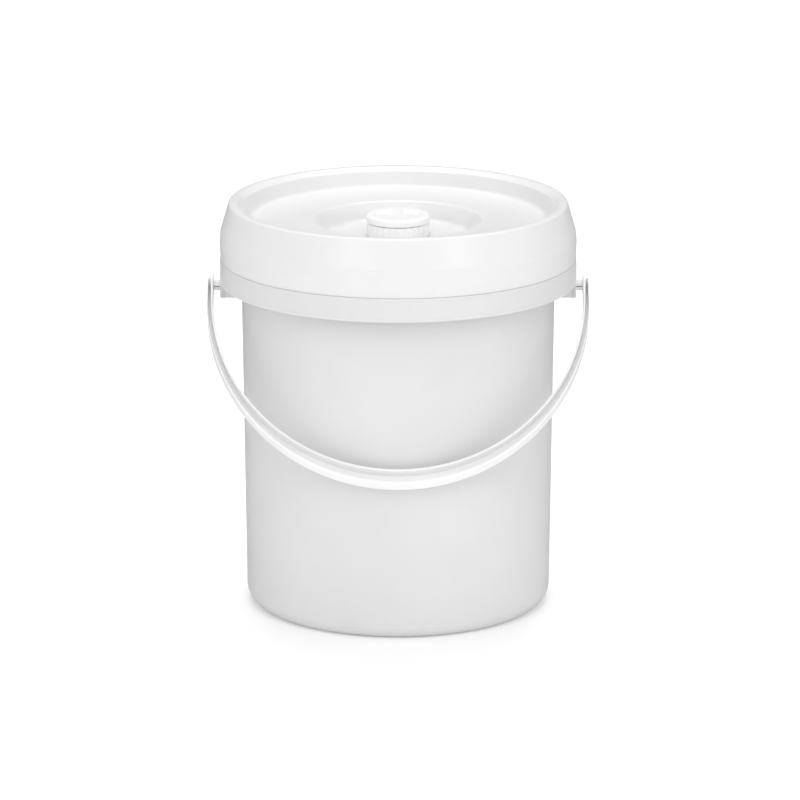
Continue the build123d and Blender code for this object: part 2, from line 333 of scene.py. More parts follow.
@dataclass(frozen=True)
class MouldedPlastic:
    """White polyolefin from a polished or lightly grained mould.

    Attributes:
        name: the material's name.
        tint: its colour where the plastic is thickest.
        pale_tint: its colour where it looks paler.
        roughness: the middle of its roughness.
        roughness_spread: how far handling and the mould's wear change that, each way.
        grain_height: depth of the mould's grain, in mm.
        streak_height: depth of the faint flow marks that run up the wall, in mm.
        glow: share of light that scatters inside the plastic.
    """

    name: str
    tint: Tint
    pale_tint: Tint
    roughness: float
    roughness_spread: float
    grain_height: float
    streak_height: float
    glow: float

    def build(self) -> bpy.types.Material:
        """Makes the material: cloudy colour, uneven gloss, fine grain and faint upright flow marks."""
        sheet = NodeSheet(self.name)
        place = sheet.add("TexCoord").outputs["Object"]
        shader = sheet.shader
        shader.inputs["IOR"].default_value = 1.49
        shader.inputs["Subsurface Weight"].default_value = self.glow
        shader.inputs["Subsurface Radius"].default_value = (1.0, 0.97, 0.92)
        shader.inputs["Subsurface Scale"].default_value = 4 * MM

        pale = sheet.spread(sheet.noise(place, *PALE_PATCHES), 0.0, 1.0)
        sheet.mix_tints(self.tint, self.pale_tint, pale)

        uneven = sheet.noise(place, *DULL_PATCHES)
        low, high = self.roughness - self.roughness_spread, self.roughness + self.roughness_spread
        sheet.join(sheet.spread(uneven, low, high), shader.inputs["Roughness"])

        stretch = sheet.add("Mapping", Scale=FLOW_STRETCH)
        sheet.join(place, stretch.inputs["Vector"])
        streaks = sheet.bump(sheet.noise(stretch.outputs["Vector"], *FLOW_MARKS), self.streak_height)
        grain = sheet.bump(sheet.noise(place, *MOULD_GRAIN), self.grain_height)
        sheet.join(streaks.outputs["Normal"], grain.inputs["Normal"])
        sheet.join(grain.outputs["Normal"], shader.inputs["Normal"])
        return sheet.material


@dataclass(frozen=True)
class SoftRubber:
    """Pale moulded rubber or silicone: dull, faintly dusty and very fine in grain.

    Attributes:
        name: the material's name.
        tint: its colour where it is clean.
        dusty_tint: its colour where dust lies on it.
        grain_height: depth of its grain, in mm.
    """

    name: str
    tint: Tint
    dusty_tint: Tint
    grain_height: float = 0.02

    def build(self) -> bpy.types.Material:
        """Makes the material: two tints mixed by dust, with a fine matt bump."""
        sheet = NodeSheet(self.name)
        place = sheet.add("TexCoord").outputs["Object"]
        sheet.shader.inputs["IOR"].default_value = 1.43
        dust = sheet.noise(place, *RUBBER_DUST)
        sheet.mix_tints(self.tint, self.dusty_tint, sheet.spread(dust, 0.0, 1.0))
        sheet.join(sheet.spread(dust, 0.55, 0.75), sheet.shader.inputs["Roughness"])
        grain = sheet.bump(sheet.noise(place, *RUBBER_GRAIN), self.grain_height)
        sheet.join(grain.outputs["Normal"], sheet.shader.inputs["Normal"])
        return sheet.material


class Finish(Enum):
    """The finishes that the pieces are made in."""

    BUCKET_WHITE = MouldedPlastic(
        "bucket_polypropylene", (0.665, 0.665, 0.665), (0.7, 0.7, 0.698), 0.42, 0.05, 0.012, 0.035, 0.12
    )
    LID_WHITE = MouldedPlastic(
        "lid_polyethylene", (0.74, 0.74, 0.74), (0.77, 0.77, 0.768), 0.35, 0.05, 0.008, 0.012, 0.15
    )
    HANDLE_WHITE = MouldedPlastic(
        "handle_polypropylene", (0.86, 0.86, 0.86), (0.89, 0.89, 0.888), 0.36, 0.05, 0.01, 0.01, 0.1
    )
    VENT_WHITE = MouldedPlastic(
        "vent_polypropylene", (0.88, 0.88, 0.88), (0.91, 0.91, 0.908), 0.34, 0.04, 0.008, 0.0, 0.1
    )
    GASKET = SoftRubber("gasket_silicone", (0.62, 0.62, 0.6), (0.7, 0.7, 0.68))
    GROMMET = SoftRubber("grommet_rubber", (0.5, 0.49, 0.46), (0.58, 0.57, 0.54))

    def material(self) -> bpy.types.Material:
        """The finish's material, made the first time it is asked for."""
        return bpy.data.materials.get(self.value.name) or self.value.build()


def new_object(name: str, data: bpy.types.ID) -> bpy.types.Object:
    """Makes an object from its data and puts it in the scene."""
    result = bpy.data.objects.new(name, data)
    bpy.context.scene.collection.objects.link(result)
    return result


@dataclass(frozen=True)
class PieceCard:
    """What a piece is called and what it belongs to.

    Attributes:
        name: the piece's name.
        body: the moving body it rides on.
        node: the frame's node it stands for.
        slot: the record's material slot; not used.
        finish: what it is made in.
    """

    name: str
    body: str
    node: str
    slot: str
    finish: Finish


def make_piece(card: PieceCard, surfaces: list[Surface]) -> bpy.types.Object:
    """Writes surfaces into one mesh, welds seams and poles, turns faces outwards and mounts the piece.

    Args:
        card: the piece's name, body, node, slot and finish.
        surfaces: closed surfaces in mm.

    Returns:
        The new object, riding on its body.
    """
    starts = np.cumsum([0] + [len(surface.points) for surface in surfaces[:-1]])
    points = np.vstack([surface.points for surface in surfaces]) * MM
    faces = np.vstack([surface.faces + start for surface, start in zip(surfaces, starts)])
    mesh = bpy.data.meshes.new(card.name)
    mesh.vertices.add(len(points))
    mesh.vertices.foreach_set("co", points.ravel())
    mesh.loops.add(faces.size)
    mesh.loops.foreach_set("vertex_index", faces.ravel())
    mesh.polygons.add(len(faces))
    mesh.polygons.foreach_set("loop_start", np.arange(0, faces.size, 4))
    mesh.update(calc_edges=True)

    work = bmesh.new()
    work.from_mesh(mesh)
    bmesh.ops.remove_doubles(work, verts=work.verts, dist=WELD)
    bmesh.ops.recalc_face_normals(work, faces=work.faces)
    work.to_mesh(mesh)
    work.free()
    mesh.shade_smooth()
    mesh.set_sharp_from_angle(angle=SHARP_ANGLE)

    piece = new_object(card.name, mesh)
    piece.data.materials.append(card.finish.material())
    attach(piece, card.body)
    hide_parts(card.node)
    LOG.info("%s: %d points, %d faces", card.name, len(mesh.vertices), len(mesh.polygons))
    return piece


# ---- Sub-assemblies ----


@dataclass
class Bucket:
    """The bucket moulding: wall, floor, flared rim, hanging collar, gussets and the handle's lugs."""

    pivot_z: float
    base_r: float = 91.05
    draft: float = 0.0115
    wall: float = 1.8
    base_corner: float = 10.0
    foot_inner_r: float = 72.0
    foot_recess: float = 2.0
    foot_slope: float = 1.5
    gate_r: float = 2.2
    gate_depth: float = 0.7
    gate_slope: float = 0.5
    floor_z: float = 3.8
    flare_z: float = 207.0
    rim_foot_z: float = 217.5
    rim_inner_r: float = 95.0
    rim_outer_r: float = 97.0
    rim_z: float = 239.0
    bead_r: float = 98.9
    bead_depth: float = 2.8
    bead_slope: float = 1.0
    collar_r: float = 105.9
    collar_top_z: float = 211.0
    collar_bottom_z: float = 196.8
    collar_wall: float = 2.0
    collar_lean: float = 0.2
    collar_bead: float = 0.3
    collar_bead_height: float = 1.3
    gusset_count: int = 12
    gusset_thick: float = 1.4
    gusset_lift: float = 1.5
    lug_face_x: float = 106.0
    lug_plate: float = 3.0
    lug_half_width: float = 9.0
    lug_side_wall: float = 2.0
    lug_side_root: float = 0.6
    lug_side_tip: float = 0.5
    lug_side_inset: float = 0.02
    lug_bottom_z: float = 187.8
    lug_edge: float = 0.6
    lug_back_edge: float = 0.4
    peg_hole_r: float = 3.1
    peg_hole_edge: float = 0.3
    lug_rays: int = 72
    segments: int = 320

    def wall_r(self, z: float) -> float:
        """Outside radius of the drafted wall at a height."""
        return self.base_r + self.draft * z

    @property
    def flange_z(self) -> float:
        """Height of the underside of the ledge that the collar hangs from."""
        return self.collar_top_z - self.collar_wall

    def shell(self) -> Surface:
        """The round part: one outline from the underside's centre, up the outside and down the inside."""
        skirt_r = self.collar_r - self.collar_wall
        low_bead_r, top_r = self.collar_r + self.collar_bead, self.collar_r - self.collar_lean
        corners: Corners = [
            (0, self.foot_recess - self.gate_depth, 0),
            (self.gate_r, self.foot_recess - self.gate_depth, 0.2),
            (self.gate_r + self.gate_slope, self.foot_recess, 0.3),
            (self.foot_inner_r, self.foot_recess, 1.5),
            (self.foot_inner_r + self.foot_slope, 0, 0.8),
            (self.base_r, 0, self.base_corner),
            (self.wall_r(self.flange_z), self.flange_z, 1.0),
            (skirt_r - self.collar_lean, self.flange_z, 1.0),
            (skirt_r, self.collar_bottom_z, 0.4),
            (low_bead_r, self.collar_bottom_z, 0.5),
            (low_bead_r, self.collar_bottom_z + self.collar_bead_height, 0.5),
            (self.collar_r, self.collar_bottom_z + 1.5 * self.collar_bead_height, 0.5),
            (top_r, self.collar_top_z - 1.5 * self.collar_bead_height, 0.5),
            (top_r + self.collar_bead, self.collar_top_z - self.collar_bead_height, 0.5),
            (top_r + self.collar_bead, self.collar_top_z, 0.6),
            (self.rim_outer_r, self.collar_top_z, 0.8),
            (self.rim_outer_r, self.rim_z - self.bead_depth - self.bead_slope, 0.8),
            (self.bead_r, self.rim_z - self.bead_depth, 0.6),
            (self.bead_r, self.rim_z, 1.3),
            (self.rim_inner_r, self.rim_z, 1.0),
            (self.rim_inner_r, self.rim_foot_z, 6.0),
            (self.wall_r(self.flare_z) - self.wall, self.flare_z, 6.0),
            (self.wall_r(self.floor_z) - self.wall, self.floor_z, self.base_corner - self.wall),
            (0, self.floor_z, 0),
        ]
        return turned(outline(corners, closed=False), self.segments, closed=False)

    def gussets(self) -> list[Surface]:
        """Short plates between wall and collar, evenly spaced under the flange."""
        inner_r = self.wall_r(self.flange_z) - OVERLAP
        outer_r = self.collar_r - self.collar_wall + OVERLAP
        low = (inner_r, -self.gusset_thick / 2, self.collar_bottom_z + self.gusset_lift)
        high = (outer_r, self.gusset_thick / 2, self.flange_z + OVERLAP)
        plate = block(low, high, fillet=0.3)
        step = 360 / self.gusset_count
        turns = [turn_about(2, (index + 0.5) * step) for index in range(self.gusset_count)]
        return [plate.placed(turn, (0, 0, 0)) for turn in turns]

    def lug_plate_surface(self) -> Surface:
        """The lug's outer plate with its peg hole, on the +X side.

        Every loop is read along rays at angle a from the hole's centre. A hole loop has one radius; an
        edge loop's radius is the smaller of half width / |cos a| and the height to the edge / |sin a|.
        The loops run out through the hole, over the face and in behind it, and close on themselves.
        """
        top = self.flange_z + OVERLAP - self.pivot_z
        bottom = self.pivot_z - self.lug_bottom_z
        corner_angles = [
            math.atan2(z, side * self.lug_half_width) for z in (top, -bottom) for side in (-1, 1)
        ]
        rays = np.linspace(-np.pi, np.pi, self.lug_rays, endpoint=False)
        angle = np.sort(np.concatenate([rays, corner_angles]))
        cosine, sine = np.cos(angle), np.sin(angle)

        def edge(inset: float) -> np.ndarray:
            """Distance from the hole's centre to the plate's edge, drawn in by an inset."""
            upright = (self.lug_half_width - inset) / np.maximum(np.abs(cosine), 1e-9)
            reach = np.where(sine > 0, top - inset, bottom - inset)
            return np.minimum(upright, reach / np.maximum(np.abs(sine), 1e-9))

        outer_x, inner_x = self.lug_face_x, self.lug_face_x - self.lug_plate
        hole, hole_edge = np.full_like(angle, self.peg_hole_r), self.peg_hole_edge
        rounding = 0.3 * self.lug_edge
        loops = [
            (hole, inner_x + hole_edge),
            (hole, outer_x - hole_edge),
            (hole + hole_edge / 3, outer_x - hole_edge / 3),
            (hole + hole_edge, outer_x),
            (edge(self.lug_edge), outer_x),
            (edge(rounding), outer_x - rounding),
            (edge(0.0), outer_x - self.lug_edge),
            (edge(0.0), inner_x + self.lug_back_edge),
            (edge(self.lug_back_edge), inner_x),
            (hole + hole_edge, inner_x),
        ]
        grid = [
            np.stack([np.full_like(angle, x), reach * cosine, reach * sine + self.pivot_z], axis=-1)
            for reach, x in loops
        ]
        return Surface.from_grid(np.array(grid), close_rows=True, close_columns=True)

    def lug(self) -> list[Surface]:
        """The box lug on the +X side: outer plate and two side walls, open below."""
        wall_x = math.sqrt(self.wall_r(self.lug_bottom_z) ** 2 - self.lug_half_width**2)
        inner_y = self.lug_half_width - self.lug_side_wall
        outer_y = self.lug_half_width - self.lug_side_inset
        low = (wall_x - self.lug_side_root, inner_y, self.lug_bottom_z)
        high = (self.lug_face_x - self.lug_side_tip, outer_y, self.flange_z + OVERLAP)
        side = block(low, high, fillet=0.4)
        mirror = np.diag([1.0, -1.0, 1.0])
        return [self.lug_plate_surface(), side, side.placed(mirror, (0, 0, 0))]

    def build(self) -> None:
        """Makes the bucket's pieces."""
        card = PieceCard("bucket_shell", "bucket", "bucket", "bucket_white", Finish.BUCKET_WHITE)
        make_piece(card, [self.shell()])
        card = PieceCard("collar_gussets", "bucket", "bucket", "bucket_white", Finish.BUCKET_WHITE)
        make_piece(card, self.gussets())
        for side, degrees in (("right", 0.0), ("left", 180.0)):
            surfaces = [part.placed(turn_about(2, degrees), (0, 0, 0)) for part in self.lug()]
            name = f"handle_lug_{side}"
            make_piece(PieceCard(name, "bucket", "bucket", "bucket_white", Finish.BUCKET_WHITE), surfaces)


@dataclass
class Handle:
    """The bail, a flat crescent moulded as a channel that is open to the front, and its pegs."""

    pivot_z: float
    lug_inner_x: float
    tilt: float = 47.0
    inner_half_width: float = 110.0
    inner_drop: float = 10.0
    inner_reach: float = 130.5
    outer_half_width: float = 113.7
    outer_drop: float = 13.0
    outer_reach: float = 140.5
    half_width: float = 4.0
    flange: float = 1.7
    leg_outer_flange: float = 0.7
    channel_depth: float = 5.5
    channel_start: float = -1.5
    channel_run: float = 3.0
    channel_draft: float = 0.15
    lip: float = 0.2
    eye_r: float = 6.0
    eye_blend_r: float = 8.0
    corner: float = 0.75
    tip_corner: float = 1.5
    peg_r: float = 3.0
    peg_head_r: float = 3.9
    peg_tip_r: float = 2.6
    peg_head_length: float = 3.2
    peg_gap: float = 0.3
    peg_edge: float = 0.4
    peg_slot: float = 0.7
    slot_end_x: float = 109.5
    slot_turn: float = -38.0
    root_flare: float = 1.4
    root_depth: float = 0.6
    peg_segments: int = 48
    half_peg_points: int = 22
    least_breadth: float = 0.02
    least_side: float = 0.05
    fillet_share: float = 0.45
    close_share: float = 0.5
    close_stations: int = 30
    leg_stations: int = 14
    bend_stations: int = 110

    def hung(self, flat: np.ndarray) -> np.ndarray:
        """Hangs flat points (x, distance below the pivot w, normal n) at the tilt.

        x stays; y = -w sin(tilt) - n cos(tilt); z = pivot height - w cos(tilt) + n sin(tilt).
        """
        c, s = math.cos(math.radians(self.tilt)), math.sin(math.radians(self.tilt))
        x, w, n = flat[..., 0], flat[..., 1], flat[..., 2]
        return np.stack([x, -w * s - n * c, self.pivot_z - w * c + n * s], axis=-1)

    def half_breadth(self, w: np.ndarray) -> np.ndarray:
        """Half of the bail's breadth across its plane, at a distance w below the pivot.

        It is the eye's circle, sqrt(eye squared - w squared), then a hollow arc that is tangent to both,
        then the leg's constant half width.
        """
        reach = self.eye_r + self.eye_blend_r
        centre_n = self.half_width + self.eye_blend_r
        centre_w = math.sqrt(reach**2 - centre_n**2)
        join_w = centre_w * self.eye_r / reach
        circle = np.sqrt(np.maximum(self.eye_r**2 - w**2, 0.0))
        hollow = centre_n - np.sqrt(np.maximum(self.eye_blend_r**2 - (w - centre_w) ** 2, 0.0))
        return np.where(w < join_w, circle, np.where(w < centre_w, hollow, self.half_width))

    def edges(self) -> tuple[np.ndarray, np.ndarray]:
        """Matching points (x, w) on the inner and the outer edge, from the right tip to the left one.

        On a leg both edges run straight down from the eye's top, with their stations close together over
        the close share of its length. Then each is a quarter ellipse:
        (half width cos a, drop + (reach - drop) sin a), for a from 0 to 90 degrees. The left half mirrors.
        """
        close = 1 - np.cos(np.linspace(0.0, np.pi / 2, self.close_stations))
        spaced = np.linspace(self.close_share, 1.0, self.leg_stations)[1:]
        leg = np.concatenate([close * self.close_share, spaced])
        angle = np.linspace(0.0, np.pi / 2, self.bend_stations)[1:]

        def half(half_width: float, drop: float, reach: float) -> np.ndarray:
            """One edge of the right half of the bail."""
            down = np.stack([np.full_like(leg, half_width), -self.eye_r + leg * (drop + self.eye_r)], -1)
            bend = np.stack([half_width * np.cos(angle), drop + (reach - drop) * np.sin(angle)], -1)
            right = np.vstack([down, bend])
            return np.vstack([right, (right * [-1.0, 1.0])[-2::-1]])

        inner = half(self.inner_half_width, self.inner_drop, self.inner_reach)
        outer = half(self.outer_half_width, self.outer_drop, self.outer_reach)
        return inner, outer

    def bail(self) -> Surface:
        """The bail's surface: a rounded channel section carried from tip to tip.

        At each station the section lies between the inner edge and the outer edge. Its breadth follows
        half_breadth, and the channel opens smoothly below channel_start. The outer flange is
        leg_outer_flange thick on a leg and grows to flange at the bottom, with the square of the share of
        the way down the ellipse. Near a tip both sides draw in by
        corner - sqrt(corner squared - (corner - distance) squared), which rounds the tip.
        """
        inner, outer = self.edges()
        w = (inner[:, 1] + outer[:, 1]) / 2
        across = unit(outer - inner)
        depth = np.linalg.norm(outer - inner, axis=1)
        breadth = np.maximum(self.half_breadth(w), self.least_breadth)
        gap = np.clip(self.tip_corner - (w + self.eye_r), 0.0, self.tip_corner)
        drawn = self.tip_corner - np.sqrt(np.maximum(self.tip_corner**2 - gap**2, 0.0))
        opened = smooth_step((w - self.channel_start) / self.channel_run)
        share = np.clip((w - self.outer_drop) / (self.outer_reach - self.outer_drop), 0.0, 1.0)
        outer_flange = self.leg_outer_flange + (self.flange - self.leg_outer_flange) * share**2
        floor = breadth + opened * (self.half_width - self.channel_depth - breadth)
        draft = self.channel_draft * opened
        near = np.maximum(self.flange, drawn + self.least_side)
        far = np.minimum(depth - outer_flange, depth - drawn - self.least_side)
        section_corners = [
            (drawn, breadth),
            (near, breadth),
            (near + draft, floor),
            (far - draft, floor),
            (far, breadth),
            (depth - drawn, breadth),
            (depth - drawn, -breadth),
            (drawn, -breadth),
        ]
        corners = np.stack([np.stack(pair, axis=-1) for pair in section_corners], axis=1)
        rim = np.minimum(self.corner, self.fillet_share * np.minimum(breadth, depth / 2))
        outer_rim = rim + opened * (np.minimum(rim, outer_flange / 2) - rim)
        lip = self.lip * opened
        fillets = np.stack([rim, lip, lip, lip, lip, outer_rim, rim, rim], axis=1)
        section = rounded(corners, fillets, steps=6)
        in_plane = inner[:, None, :] + section[..., :1] * across[:, None, :]
        flat = np.concatenate([in_plane, section[..., 1:]], axis=-1)
        centre = np.repeat(flat.mean(axis=1, keepdims=True), flat.shape[1], axis=1)
        flat = np.concatenate([centre[:1], flat, centre[-1:]])
        return Surface.from_grid(self.hung(flat), close_rows=False, close_columns=True)

    def half_peg(self, side: int) -> Surface:
        """Half of the split peg at the +X end, on one side of its slot.

        A loop is an arc of radius r(x) cut off by the slot's face at half the slot's width, and the loops
        run from the tip, over the cone and its step, along the stem to the slot's end. The first and the
        last loop close on one point.
        """
        step_x = self.lug_inner_x - self.peg_gap
        tip_x = step_x - self.peg_head_length
        end_x = self.slot_end_x + OVERLAP / 2
        rounding = self.peg_edge / 4
        profile = [
            (tip_x, 0.0),
            (tip_x, self.peg_tip_r - self.peg_edge),
            (tip_x + self.peg_edge, self.peg_tip_r),
            (step_x - self.peg_edge, self.peg_head_r - rounding / 2),
            (step_x - rounding, self.peg_head_r),
            (step_x, self.peg_head_r - 2.5 * rounding),
            (step_x, self.peg_r),
            (end_x, self.peg_r),
            (end_x, 0.0),
        ]
        x, r = np.array(profile).T
        gap = self.peg_slot / 2
        least_reach, end_middle = gap + 0.5, gap + 0.6
        reach = np.maximum(r, least_reach)
        start = np.arcsin(gap / reach)
        t = np.linspace(0.0, 1.0, self.half_peg_points)
        angle = start[:, None] + t * (np.pi - 2 * start)[:, None]
        arc = np.stack([reach[:, None] * np.cos(angle), side * reach[:, None] * np.sin(angle)], axis=-1)
        arc = np.where((r < gap)[:, None, None], np.array([0.0, side * end_middle]), arc)
        along = np.broadcast_to(x[:, None, None], (*arc.shape[:2], 1))
        return Surface.from_grid(np.concatenate([along, arc], axis=-1), False, True)

    def pegs(self) -> list[Surface]:
        """Both split pegs with their solid, flared roots, in the hung place."""
        flare_r, leg_x = self.peg_r + self.root_flare, self.inner_half_width
        root: Corners = [
            (0, self.slot_end_x, 0),
            (self.peg_r, self.slot_end_x, 0.05),
            (self.peg_r, leg_x, 0.4),
            (flare_r, leg_x + self.least_side, 0),
            (flare_r, leg_x + self.root_depth, 0),
            (0, leg_x + self.root_depth, 0),
        ]
        stem = turned(outline(root, closed=False), self.peg_segments, closed=False)
        along_x = np.array([[0.0, 0.0, 1.0], [1.0, 0.0, 0.0], [0.0, 1.0, 0.0]])
        slot = turn_about(0, self.slot_turn + 90 - self.tilt)
        right = [stem.placed(along_x, (0, 0, self.pivot_z))]
        right += [self.half_peg(side).placed(slot, (0, 0, self.pivot_z)) for side in (-1, 1)]
        mirror = np.diag([-1.0, 1.0, 1.0])
        return right + [part.placed(mirror, (0, 0, 0)) for part in right]

    def build(self) -> None:
        """Makes the bail and its pegs, which are one moulding on the real handle."""
        for name, surfaces in (("carry_bail", [self.bail()]), ("snap_pegs", self.pegs())):
            card = PieceCard(name, "handle", "carry_handle", "handle_white", Finish.HANDLE_WHITE)
            make_piece(card, surfaces)


@dataclass
class Lid:
    """The lid moulding with the soft ring in its channel."""

    wall: float = 2.0
    skirt_r: float = 106.2
    skirt_widest_z: float = 221.0
    skirt_bottom_r: float = 105.65
    skirt_bottom_z: float = 211.12
    shoulder_r: float = 105.6
    shoulder_z: float = 227.5
    crest_r: float = 100.6
    crest_inner_r: float = 96.2
    crest_z: float = 245.0
    plug_top_r: float = 92.0
    plug_top_z: float = 242.7
    deck_r: float = 88.6
    deck_z: float = 234.0
    dish_lip_r: float = 49.4
    dish_floor_r: float = 43.0
    dish_floor_z: float = 224.0
    channel_top_z: float = 242.6
    snap_r: float = 99.25
    snap_z: float = 234.2
    snap_half_flat: float = 0.3
    snap_rise: float = 1.4
    snap_run_in: float = 1.8
    hole_r: float = 7.5
    gasket_inner_r: float = 95.3
    gasket_outer_r: float = 98.6
    gasket_bottom_z: float = 239.3
    gasket_groove: float = 0.7
    gasket_groove_depth: float = 0.5
    segments: int = 320

    def moulding(self) -> Surface:
        """The lid: its upper face from skirt to centre hole and its lower face back, turned about Z."""
        dish_foot, dish_lip = (self.dish_floor_r, self.dish_floor_z), (self.dish_lip_r, self.deck_z)
        plug_foot, plug_top = (self.deck_r, self.deck_z), (self.plug_top_r, self.plug_top_z)
        crest, shoulder = (self.crest_r, self.crest_z), (self.shoulder_r, self.shoulder_z)
        dish = offset_line(dish_foot, dish_lip, self.wall)
        plug = offset_line(plug_foot, plug_top, self.wall)
        cone = offset_line(crest, shoulder, self.wall)
        floor_under, deck_under = self.dish_floor_z - self.wall, self.deck_z - self.wall
        channel_side_z, channel_start_r = self.channel_top_z - 0.8, self.gasket_inner_r - 0.1
        shoulder_under = self.shoulder_z - 0.4
        corners: Corners = [
            (self.skirt_bottom_r, self.skirt_bottom_z, 0.15),
            (self.skirt_r, self.skirt_widest_z, 20.0),
            (*shoulder, 1.5),
            (*crest, 1.8),
            (self.crest_inner_r, self.crest_z, 2.5),
            (*plug_top, 1.5),
            (*plug_foot, 3.0),
            (*dish_lip, 2.0),
            (*dish_foot, 4.0),
            (self.hole_r, self.dish_floor_z, 0),
            (self.hole_r, floor_under, 0),
            (*at_height(dish, floor_under), 5.0),
            (*at_height(dish, deck_under), 1.0),
            (*at_height(plug, deck_under), 4.0),
            (*at_height(plug, channel_side_z), 0.5),
            (channel_start_r, self.channel_top_z, 0.2),
            (*at_height(cone, self.channel_top_z), 0.3),
            (*at_height(cone, self.snap_z + self.snap_rise), 0.3),
            (self.snap_r, self.snap_z + self.snap_half_flat, 0.2),
            (self.snap_r, self.snap_z - self.snap_half_flat, 0.2),
            (*at_height(cone, self.snap_z - self.snap_run_in), 0.3),
            (self.shoulder_r - self.wall, shoulder_under, 3.0),
            (self.skirt_r - self.wall, self.skirt_widest_z, 20.0),
            (self.skirt_bottom_r - self.wall, self.skirt_bottom_z, 0.3),
        ]
        return turned(outline(corners, closed=True), self.segments, closed=True)

    def gasket(self) -> Surface:
        """The soft ring: a block section with a rounded foot and a shallow groove in it."""
        low, high = self.gasket_bottom_z, self.channel_top_z
        middle, half_groove = (self.gasket_inner_r + self.gasket_outer_r) / 2, self.gasket_groove / 2
        corners: Corners = [
            (self.gasket_outer_r, high, 0.2),
            (self.gasket_inner_r, high, 0.2),
            (self.gasket_inner_r, low, 0.7),
            (middle - half_groove, low, 0.1),
            (middle, low + self.gasket_groove_depth, 0.2),
            (middle + half_groove, low, 0.1),
            (self.gasket_outer_r, low, 0.7),
        ]
        return turned(outline(corners, closed=True), self.segments, closed=True)

    def build(self) -> None:
        """Makes the lid and its gasket."""
        card = PieceCard("lid_moulding", "lid", "lid", "lid_white", Finish.LID_WHITE)
        make_piece(card, [self.moulding()])
        card = PieceCard("channel_gasket", "lid", "lid_gasket", "gasket_rubber", Finish.GASKET)
        make_piece(card, [self.gasket()])


